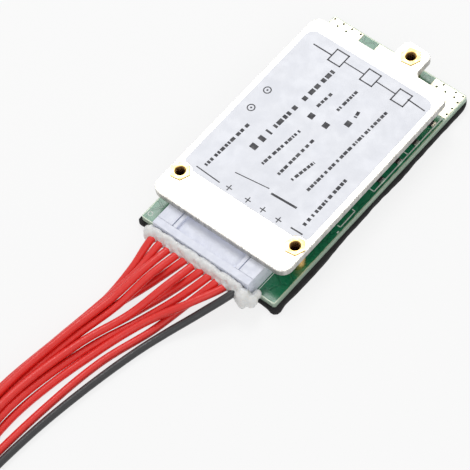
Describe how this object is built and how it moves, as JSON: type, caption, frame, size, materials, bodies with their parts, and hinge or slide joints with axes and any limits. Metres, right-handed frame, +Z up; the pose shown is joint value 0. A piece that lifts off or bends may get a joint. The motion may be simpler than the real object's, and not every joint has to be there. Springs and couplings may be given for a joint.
{
  "type": "battery management board",
  "caption": "Battery protection board under a raised metal heatsink plate on tapped brass standoffs, with a plugged harness of thin balance wires set in white glue.",
  "frame": {"origin": "centre of the insulating pad's underside, the face that the board lies on", "axes": "+X across the board, +Y along the board from the connector edge to the output pads, +Z up out of the heatsink plate"},
  "size_m": [0.0602, 0.2102, 0.0108],
  "materials": {
    "foam": "matt black closed-cell foam",
    "board": "green solder mask",
    "solder": "tinned solder, warm and uneven",
    "plate": "satin, pale warm plating",
    "label": "pale blue-white film with black print",
    "brass": "turned brass",
    "thermal_pad": "grey-blue silicone sheet",
    "connector": "white nylon",
    "tinned_pins": "tinned",
    "contacts": "tinned bronze",
    "glue": "milky silicone",
    "black_plastic": "moulded black epoxy",
    "transistor": "moulded black epoxy with a tinned tab",
    "resistor": "dark film with tinned ends",
    "shunt": "dark film with tinned ends",
    "red_wire": "soft red silicone insulation",
    "black_wire": "soft black silicone insulation",
    "tie": "white nylon"
  },
  "bodies": {
    "root": {"balance_resistor_1": "resistor", "balance_resistor_10": "resistor", "balance_resistor_2": "resistor", "balance_resistor_3": "resistor", "balance_resistor_4": "resistor", "balance_resistor_5": "resistor", "balance_resistor_6": "resistor", "balance_resistor_7": "resistor", "balance_resistor_8": "resistor", "balance_resistor_9": "resistor", "balance_switch_1": "black_plastic", "balance_switch_10": "black_plastic", "balance_switch_2": "black_plastic", "balance_switch_3": "black_plastic", "balance_switch_4": "black_plastic", "balance_switch_5": "black_plastic", "balance_switch_6": "black_plastic", "balance_switch_7": "black_plastic", "balance_switch_8": "black_plastic", "balance_switch_9": "black_plastic", "black_wire": "black_wire", "circuit_board": "board", "clamp_diode_1": "black_plastic", "clamp_diode_2": "black_plastic", "connector_header": "connector", "connector_plug": "connector", "control_chip": "black_plastic", "crimp_contacts": "contacts", "driver_chip": "black_plastic", "glue_bead": "glue", "harness_hank": "red_wire", "harness_tie": "tie", "header_pins": "tinned_pins", "heatsink_plate": "plate", "insulating_pad": "foam", "mosfet_1": "transistor", "mosfet_2": "transistor", "mosfet_3": "transistor", "mosfet_4": "transistor", "mosfet_5": "transistor", "mosfet_6": "transistor", "plate_label": "label", "red_wire_1": "red_wire", "red_wire_10": "red_wire", "red_wire_2": "red_wire", "red_wire_3": "red_wire", "red_wire_4": "red_wire", "red_wire_5": "red_wire", "red_wire_6": "red_wire", "red_wire_7": "red_wire", "red_wire_8": "red_wire", "red_wire_9": "red_wire", "shunt_1": "shunt", "shunt_2": "shunt", "solder_pads": "solder", "standoffs": "brass", "thermal_pad": "thermal_pad"}
  },
  "joints": []
}
